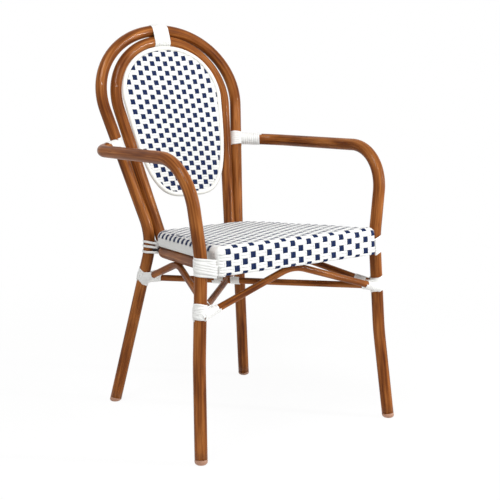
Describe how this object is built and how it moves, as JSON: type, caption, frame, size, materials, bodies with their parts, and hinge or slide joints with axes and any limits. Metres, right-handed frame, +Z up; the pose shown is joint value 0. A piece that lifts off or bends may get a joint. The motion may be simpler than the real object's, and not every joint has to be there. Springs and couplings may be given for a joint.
{
  "type": "bistro armchair",
  "caption": "Stacking bistro armchair with a bamboo-look tube frame, a hand-woven seat and oval back, and strand bindings over its joints.",
  "frame": {"origin": "on the floor under the middle of the chair's box", "axes": "+Z up, the chair faces -Y, +X on the right of someone looking at its front"},
  "size_m": [0.5424, 0.5934, 0.8945],
  "materials": {
    "frame_lacquer": "glossy brown bamboo-look lacquer on aluminium tube",
    "white_strand": "satin white polyethylene strand",
    "woven_panel": "white and navy polyethylene strands woven in columns",
    "foot_plastic": "smooth pinkish brown plastic",
    "bolt_steel": "dark bolt and spacer"
  },
  "bodies": {
    "root": {"outer_hoop_rear_legs": "frame_lacquer", "inner_hoop": "frame_lacquer", "arm_front_leg_right": "frame_lacquer", "arm_front_leg_left": "frame_lacquer", "seat_ring": "frame_lacquer", "brace_front": "frame_lacquer", "brace_rear": "frame_lacquer", "brace_side_right": "frame_lacquer", "brace_side_left": "frame_lacquer", "cross_bar": "frame_lacquer", "cross_half_front": "frame_lacquer", "cross_half_rear": "frame_lacquer", "seat_stub_front_right": "frame_lacquer", "seat_stub_front_left": "frame_lacquer", "woven_seat": "woven_panel", "woven_back": "woven_panel", "back_rim": "white_strand", "seat_stub_rear_right": "bolt_steel", "seat_stub_rear_left": "bolt_steel", "foot_cap_front_right": "foot_plastic", "foot_cap_front_left": "foot_plastic", "foot_cap_rear_right": "foot_plastic", "foot_cap_rear_left": "foot_plastic", "binding_top": "white_strand", "binding_arm_sleeve_right": "white_strand", "binding_arm_sleeve_left": "white_strand", "binding_arm_lash_right": "white_strand", "binding_arm_lash_left": "white_strand", "binding_seat_front_right": "white_strand", "binding_seat_front_left": "white_strand", "binding_seat_rear_right": "white_strand", "binding_seat_rear_left": "white_strand", "binding_leg_front_right": "white_strand", "binding_leg_front_left": "white_strand", "binding_leg_rear_right": "white_strand", "binding_leg_rear_left": "white_strand", "binding_brace_front_right": "white_strand", "binding_brace_front_left": "white_strand", "binding_brace_side_right": "white_strand", "binding_brace_side_left": "white_strand", "binding_cross_1": "white_strand", "binding_cross_2": "white_strand"}
  },
  "joints": []
}
